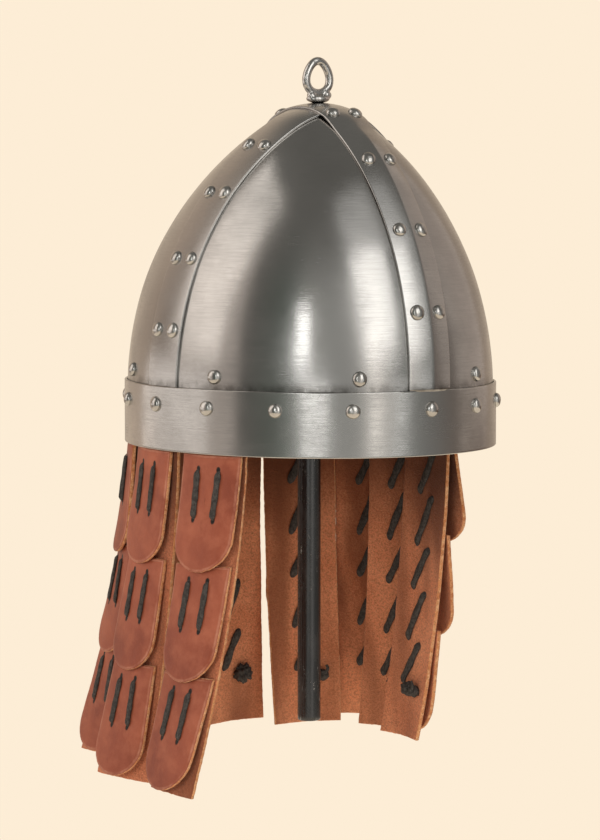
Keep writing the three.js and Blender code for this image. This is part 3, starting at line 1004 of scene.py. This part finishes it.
PAINT_BLACK = (0.010, 0.009, 0.009)
PAINT_DUSTY = (0.030, 0.028, 0.027)
BARE_METAL = (0.42, 0.41, 0.39)


def steel(name, tint, rough):
    """Satin sheet steel: fine marks run round the dome, over soft mottling and scratches."""
    m = Shader(name)
    x, y, z = m.parts(m.place)
    round_it = m.times(m.math("ARCTAN2", x, y), DOME_X)
    up = m.times(z, 1 / MM)
    streak = m.noise(m.whole(m.times(round_it, 0.05), m.times(up, 1.6), 0.0), 1.0, 4, 0.7)
    fine = m.noise(m.whole(m.times(round_it, 0.12), m.times(up, 5.0), 3.0), 1.0, 2, 0.6)
    blotch = m.spots(28, 5, 0.6)
    cloud = m.spots(9, 3, 0.5)
    grain = m.spots(900, 2, 0.5)
    slant = m.whole(
        m.times(m.math("ADD", round_it, up), 0.045),
        m.times(m.math("SUBTRACT", up, round_it), 0.9), 7.0)
    scratch = m.remap(m.noise(slant, 1.0, 3, 0.6), 0.66, 0.76)
    pale = shade(tint, 1.12)
    colour = m.stain(shade(tint, 0.80), pale, cloud, 0.3, 0.7)
    colour = m.stain(colour, shade(tint, 0.66), blotch, 0.4, 0.7, 0.5)
    colour = m.stain(colour, shade(tint, 0.60), streak, 0.4, 0.75, 0.30)
    colour = m.mix(m.times(scratch, 0.35), colour, pale)
    # Darker in patches just above the brow band's top edge.
    m.set("Base Color", m.mix(darker_above_brow(m, up), colour, ABOVE_BROW_DARK))
    m.set("Metallic", 1.0)
    level = m.remap(blotch, 0.3, 0.7, rough - 0.05, rough + 0.06)
    m.set("Roughness", m.math("ADD", level, m.remap(streak, 0.3, 0.7, -0.05, 0.05)))
    m.set("Anisotropic", 0.35)
    m.set("Tangent", m.vector("NORMALIZE", m.vector("CROSS_PRODUCT", (0, 0, 1), m.place)))
    m.bump(m.total((streak, 0.45), (fine, 0.35), (grain, 0.15), (scratch, -0.25)), 0.000045)
    return m.material


def darker_above_brow(m, up):
    """How much darker the steel is made, in patches, just above the brow band's top edge where
    the plates and straps meet it.
    """
    near = m.remap(up, BROW_HEIGHT + 6.0, BROW_HEIGHT, 0, 1, True)
    near = m.times(near, m.remap(up, BROW_HEIGHT - 0.6, BROW_HEIGHT))
    patchy = m.remap(m.spots(120, 3, 0.6), 0.35, 0.65, 0.15, 0.75)
    return m.times(near, patchy)


def polished_steel(name, tint, rough):
    """Rivet heads and the ring: brighter, smoother metal with hammer and file marks."""
    m = Shader(name)
    facets = m.spots(240, 2, 0.4)
    smudge = m.spots(90, 4, 0.6)
    fine = m.spots(1500, 2, 0.5)
    m.set("Base Color", m.stain(shade(tint, 0.72), tint, smudge, 0.35, 0.7))
    m.set("Metallic", 1.0)
    m.set("Roughness", m.remap(smudge, 0.3, 0.7, rough, rough + 0.14))
    m.bump(m.total((facets, 0.8), (fine, 0.1)), 0.0005)
    return m.material


def lace_hole(m, across, up, level, wide, tall):
    """1 at the two holes of a scale at a level, falling to 0 at their rims. wide and tall are
    half widths in millimetres."""
    aside = m.math("SUBTRACT", m.math("ABSOLUTE", across), LACE_SIDE)
    dx = m.math("DIVIDE", aside, wide)
    dy = m.math("DIVIDE", m.math("SUBTRACT", up, level), tall)
    far = m.math("SQRT", m.math("ADD", m.times(dx, dx), m.times(dy, dy)))
    return m.remap(far, 0.75, 1.15, 1, 0)


def leather_face():
    """The smooth dyed grain side of the hide, paler where its edge is bevelled."""
    m = Shader("leather_face")
    across, up, _ = m.hide_map("cut")
    inward, _, _ = m.hide_map("rim")
    cloud = m.spots(22, 4, 0.55)
    mottle = m.spots(85, 5, 0.65)
    pores = m.spots(1300, 2, 0.6)
    wrinkle = m.spots(320, 4, 0.6)
    colour = m.stain(LEATHER_DEEP, LEATHER_WARM, cloud, 0.3, 0.7)
    colour = m.stain(colour, LEATHER_PALE, mottle, 0.42, 0.72, 0.55)
    colour = m.stain(colour, LEATHER_DEEP, wrinkle, 0.55, 0.75, 0.25)
    colour = m.mix(m.remap(up, 2, 16, 0.28, 0), colour, LEATHER_DEEP)
    bevel = m.times(m.remap(inward, 0.3, 0.8), m.remap(inward, 1.5, 2.1, 1, 0))
    rubbed = m.times(bevel, m.remap(mottle, 0.35, 0.65, 0.0, 0.6))
    colour = m.mix(rubbed, colour, LEATHER_RUBBED)
    # The lace slits are painted dark as their shade, and pressed in by the bump.
    hole = m.math(
        "MAXIMUM", lace_hole(m, across, up, LACE_UP[0] - 0.6, 1.3, 1.9),
        lace_hole(m, across, up, LACE_UP[1] + 0.8, 1.3, 1.8))
    m.set("Base Color", m.mix(hole, colour, SLIT_SHADE))
    m.dry(m.remap(mottle, 0.3, 0.7, 0.44, 0.60), 0.35)
    m.bump(m.total((pores, 0.25), (wrinkle, 0.5), (mottle, 0.6), (hole, -1.2)), 0.00035)
    return m.material


def suede(name, low, high):
    """The hide's fuzzy flesh side, with painted shade in folds down it, and painted shadow near
    the rim.
    """
    m = Shader(name)
    nap = m.spots(1500, 3, 0.7)
    clump = m.spots(760, 4, 0.65)
    cloud = m.spots(26, 4, 0.55)
    x, y, z = m.parts(m.place)
    # fold places the painted fold shade, and makes the edge of the painted rim shadow ragged.
    fold = m.noise(m.whole(x, y, m.times(z, 0.12)), 34, 2, 0.5)
    rim_shadow_height = m.math("ADD", z, m.times(fold, 0.05))
    colour = m.stain(low, high, cloud, 0.3, 0.7)
    colour = m.stain(colour, shade(low, 0.34), clump, 0.42, 0.7, 0.65)
    colour = m.stain(colour, shade(high, 1.5), nap, 0.5, 0.72, 0.6)
    # Painted shade: darker streaks down the hide where folds would be shaded.
    colour = m.stain(colour, shade(low, 0.35), fold, 0.46, 0.62, 0.7)
    # Painted shadow: darker towards the rim, under the brow band.
    colour = m.stain(colour, shade(low, 0.22), rim_shadow_height, -0.045, 0.005, 0.85)
    m.set("Base Color", colour)
    m.dry(0.95, 0.1, 0.12)
    m.bump(m.total((nap, 1), (clump, 1.2)), 0.0006)
    return m.material


def cut_edge():
    """The raw cut edge of the hide: pale orange fibres with dark gaps."""
    m = Shader("leather_cut_edge")
    fibre = m.spots(1100, 4, 0.75)
    tuft = m.spots(300, 4, 0.7)
    cloud = m.spots(40, 3, 0.5)
    colour = m.stain(CUT_DEEP, CUT_WARM, cloud, 0.3, 0.7)
    colour = m.stain(colour, CUT_PALE, tuft, 0.44, 0.62, 0.85)
    m.set("Base Color", m.stain(colour, CUT_GAP, fibre, 0.52, 0.7, 0.75))
    m.dry(0.95, 0.1, 0.15)
    m.bump(m.math("ADD", fibre, tuft), 0.0008)
    return m.material


def lace_leather():
    """Black thong leather, with grey fuzz in strands along it."""
    m = Shader("lace_leather")
    x, y, z = m.parts(m.place)
    strand = m.noise(m.whole(x, y, m.times(z, 0.25)), 1600, 3, 0.7)
    tuft = m.spots(500, 4, 0.7)
    colour = m.stain(LACE_DARK, LACE_GREY, tuft, 0.4, 0.7)
    m.set("Base Color", m.stain(colour, LACE_FUZZ, strand, 0.5, 0.7, 0.55))
    m.dry(0.85, 0.2)
    m.bump(m.math("ADD", strand, tuft), 0.0007)
    return m.material


def post_paint():
    """Satin black paint, scuffed to bright metal in a few short marks."""
    m = Shader("post_paint")
    x, y, z = m.parts(m.place)
    long = m.whole(x, y, m.times(z, 0.3))
    dust = m.noise(long, 120, 5, 0.7)
    area = m.remap(m.spots(24, 2, 0.5), 0.44, 0.56)
    scuff = m.times(m.remap(m.noise(long, 420, 5, 0.75), 0.625, 0.67), area)
    colour = m.stain(PAINT_BLACK, PAINT_DUSTY, dust, 0.45, 0.75)
    m.set("Base Color", m.mix(scuff, colour, BARE_METAL))
    m.dry(m.remap(dust, 0.3, 0.7, 0.20, 0.34), 0.9)
    m.bump(m.total((dust, 0.4), (scuff, -1)), 0.00015)
    return m.material


# ---- Assembly ----
plate_steel = steel("plate_steel", PLATE_TINT, 0.19)
strap_steel = steel("strap_steel", STRAP_TINT, 0.21)
brow_steel = steel("brow_steel", BROW_TINT, 0.20)
rivet_steel = polished_steel("rivet_steel", RIVET_TINT, 0.13)
ring_steel = polished_steel("ring_steel", RING_TINT, 0.12)

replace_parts(brow_band(brow_steel), "brow_band")
rivets("rivets_brow", brow_rivet_places(), rivet_steel)

for number, quarter in enumerate(("front_right", "back_right", "back_left", "front_left")):
    sheet = plate(f"plate_{quarter}_sheet", number * 90, plate_steel, number + 11)
    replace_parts(sheet, f"plate_{quarter}")
rivets("rivets_plates", plate_rivet_places(), rivet_steel)

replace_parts(long_strap(strap_steel), "crown_strap_front_back")
places = strap_rivet_places("y", -1, FRONT_RIVET_HEIGHTS, long_strap_offset)
places += strap_rivet_places("y", 1, FRONT_RIVET_HEIGHTS, long_strap_offset)
rivets("rivets_crown_strap", places, rivet_steel)

for side_name, sign in (("right", -1), ("left", 1)):
    strap = side_strap(f"side_strap_{side_name}_sheet", sign, strap_steel, 20 + sign)
    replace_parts(strap, f"side_strap_{side_name}")
    places = strap_rivet_places("x", sign, SIDE_RIVET_HEIGHTS, side_strap_offset)
    rivets(f"rivets_side_strap_{side_name}", places, rivet_steel)

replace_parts(top_ring(ring_steel), "top_ring")

edge, flesh = cut_edge(), suede("leather_suede", SUEDE_LOW, SUEDE_HIGH)
hide = [leather_face(), edge, flesh]
strap_hide = [suede("leather_undyed", UNDYED_LOW, UNDYED_HIGH), edge, flesh]
thong = lace_leather()
for number, strip in enumerate(STRIPS):
    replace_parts(backing(strip, number, strap_hide), f"backing_{strip}")
    for row in range(3):
        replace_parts(scale(strip, number, row, hide), f"scale_{strip}_{row + 1}")
    laces(strip, number, thong)

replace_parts(display_post(post_paint()), "stand_post")


# ---- Room ----
CREAM = (0.982, 0.847, 0.672)
FLOOR_Z = -0.6
FLOOR_RADIUS = 1.5
CAMERA_TURN = -35.7
CAMERA_DISTANCE = 1.8
CAMERA_HEIGHT = 0.159
CAMERA_PITCH = 4.66
CAMERA_YAW = 0.17
LENS = 132.2
TURNED = math.radians(CAMERA_TURN)
TOWARD_CAMERA = Vector((math.sin(TURNED), -math.cos(TURNED), 0))
TO_THE_RIGHT = Vector((0, 0, 1)).cross(TOWARD_CAMERA)


def camera():
    data = bpy.data.cameras.new("camera")
    data.lens = LENS
    data.sensor_width = 36
    item = add_object("camera", data)
    item.location = TOWARD_CAMERA * CAMERA_DISTANCE + Vector((0, 0, CAMERA_HEIGHT))
    item.rotation_euler = (
        math.radians(90 - CAMERA_PITCH), 0, math.radians(CAMERA_TURN + CAMERA_YAW))
    bpy.context.scene.camera = item


def floor():
    """A plain pale disc, well below the hem."""
    work = bmesh.new()
    bmesh.ops.create_circle(work, cap_ends=True, segments=96, radius=FLOOR_RADIUS)
    mesh = bpy.data.meshes.new("floor")
    work.to_mesh(mesh)
    work.free()
    item = add_object("floor", mesh)
    item.location.z = FLOOR_Z
    paint = Shader("floor_paint")
    paint.set("Base Color", (0, 0, 0, 1))
    paint.set("Specular IOR Level", 0)
    paint.set("Emission Color", (*CREAM, 1))
    paint.set("Emission Strength", 1.0)
    mesh.materials.append(paint.material)


# What the room looks like at the horizon, by the angle from the camera's own direction towards
# the right of the picture, in degrees, and overhead.
ROOM = (
    (-180, (0.72, 0.60, 0.46)),
    (-130, (0.56, 0.44, 0.35)),
    (-112, (0.38, 0.31, 0.26)),
    (-96, (0.50, 0.43, 0.38)),
    (-60, (0.62, 0.55, 0.50)),
    (-55, (0.16, 0.15, 0.14)),
    (-34, (0.13, 0.15, 0.13)),
    (-26, (0.24, 0.26, 0.24)),
    (-14, (0.46, 0.46, 0.43)),
    (2, (0.42, 0.42, 0.40)),
    (20, (0.46, 0.46, 0.44)),
    (24, (0.85, 0.82, 0.78)),
    (40, (0.85, 0.82, 0.78)),
    (46, (0.34, 0.35, 0.33)),
    (70, (0.26, 0.26, 0.25)),
    (92, (0.20, 0.17, 0.15)),
    (112, (0.17, 0.12, 0.09)),
    (132, (0.17, 0.11, 0.08)),
    (146, (0.42, 0.33, 0.26)),
    (180, (0.72, 0.60, 0.46)),
)
OVERHEAD = (0.20, 0.195, 0.18)
OVERHEAD_FROM, OVERHEAD_FULL = 0.45, 0.9


def room():
    """Soft studio light from every side, plain to the camera itself."""
    world = bpy.data.worlds.new("room")
    bpy.context.scene.world = world
    world.use_nodes = True
    world.node_tree.nodes.clear()
    m = Nodes(world.node_tree)
    way = m.add("ShaderNodeTexCoord").outputs["Generated"]
    aside = m.vector("DOT_PRODUCT", way, TO_THE_RIGHT)
    turn = m.math("ARCTAN2", aside, m.vector("DOT_PRODUCT", way, TOWARD_CAMERA))
    share = m.math("ADD", m.times(turn, 0.5 / math.pi), 0.5)
    ring = m.ramp(share, [(degrees / 360 + 0.5, colour) for degrees, colour in ROOM])
    rise = m.vector("DOT_PRODUCT", way, (0, 0, 1))
    high = m.remap(rise, OVERHEAD_FROM, OVERHEAD_FULL, smooth=True)
    lit = m.add("ShaderNodeBackground")
    m.put(lit.inputs[0], m.mix(high, ring, OVERHEAD))
    plain = m.add("ShaderNodeBackground")
    m.put(plain.inputs[0], (*CREAM, 1))
    choose = m.add("ShaderNodeMixShader")
    m.put(choose.inputs[0], m.add("ShaderNodeLightPath").outputs["Is Camera Ray"])
    m.put(choose.inputs[1], lit.outputs[0])
    m.put(choose.inputs[2], plain.outputs[0])
    m.put(m.add("ShaderNodeOutputWorld").inputs[0], choose.outputs[0])


LIT = Vector((0, 0, 0.06))


def softbox(name, turn, rise, distance, width, height, radiance, colour=(1, 1, 1)):
    """A rectangular light that faces the helmet. turn is measured like the room's angles."""
    data = bpy.data.lights.new(name, "AREA")
    data.shape = "RECTANGLE"
    data.size, data.size_y = width, height
    data.color = colour
    data.energy = radiance * math.pi * width * height
    item = add_object(name, data)
    t, r = math.radians(turn), math.radians(rise)
    level = TOWARD_CAMERA * math.cos(t) + TO_THE_RIGHT * math.sin(t)
    item.location = LIT + (level * math.cos(r) + Vector((0, 0, math.sin(r)))) * distance
    item.rotation_euler = (LIT - item.location).to_track_quat("-Z", "Y").to_euler()
    return item


key = softbox("key", -30, 14, 2.4, 0.7, 0.7, 8.5, (1, 0.95, 0.89))
key.visible_glossy = False
softbox("band_left", -100, -3, 2.2, 2.2, 0.35, 0.8, (1, 0.97, 0.94))
softbox("band_front", -9, -3, 2.4, 0.7, 0.35, 1.5)
softbox("band_right", 48, -3, 2.4, 0.4, 0.35, 0.9)
softbox("softbox_high", 40, 54, 2.4, 1.2, 1.0, 0.55, (1, 1, 0.99))
softbox("far_right", 118, 20, 2.2, 1.7, 2.2, 0.32, (1, 0.94, 0.88))
softbox("softbox_left", -84, 33, 2.2, 1.35, 2.3, 0.95, (1, 0.94, 0.88))
softbox("strip_front", -17, 15, 2.6, 0.42, 1.0, 2.5)
softbox("softbox_right", 36, 27, 2.4, 1.15, 1.5, 1.5, (1, 0.99, 0.97))
softbox("strip_right", 30, 4, 2.4, 0.28, 1.1, 1.0, (1, 0.95, 0.88))

bpy.context.scene.view_settings.view_transform = "Standard"
camera()
floor()
room()
